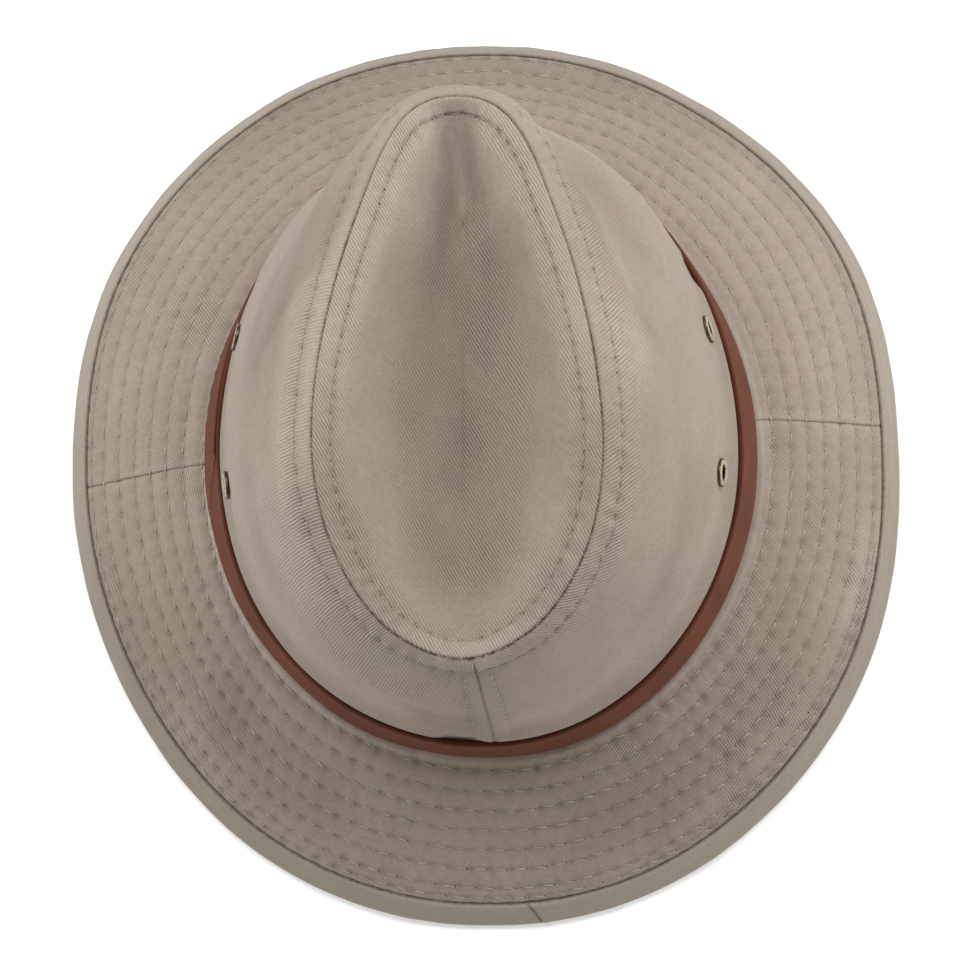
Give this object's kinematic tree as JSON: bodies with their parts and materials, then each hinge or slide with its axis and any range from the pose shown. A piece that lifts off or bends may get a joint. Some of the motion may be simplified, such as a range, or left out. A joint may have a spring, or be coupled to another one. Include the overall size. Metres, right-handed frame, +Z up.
{
  "type": "safari hat",
  "caption": "Stiffened twill safari hat with a pinched crown, a quilted turned-down brim, a leather band and brass vent eyelets.",
  "frame": {"origin": "middle of the brim's outline, at the level that the hat rests on", "axes": "+Z up out of the crown, -Y to the front of the hat, +X to the wearer's left"},
  "size_m": [0.2778, 0.3024, 0.14],
  "materials": {
    "twill": "matt khaki cotton twill",
    "binding_tape": "matt khaki tape",
    "leather": "smooth reddish brown",
    "antique_brass": "dull antique"
  },
  "bodies": {
    "root": {"crown_tip": "twill", "crown_side": "twill", "brim_front": "twill", "brim_back": "twill", "brim_binding": "binding_tape", "band": "leather", "eyelet_left_front": "antique_brass", "eyelet_left_back": "antique_brass", "eyelet_right_front": "antique_brass", "eyelet_right_back": "antique_brass"}
  },
  "joints": []
}
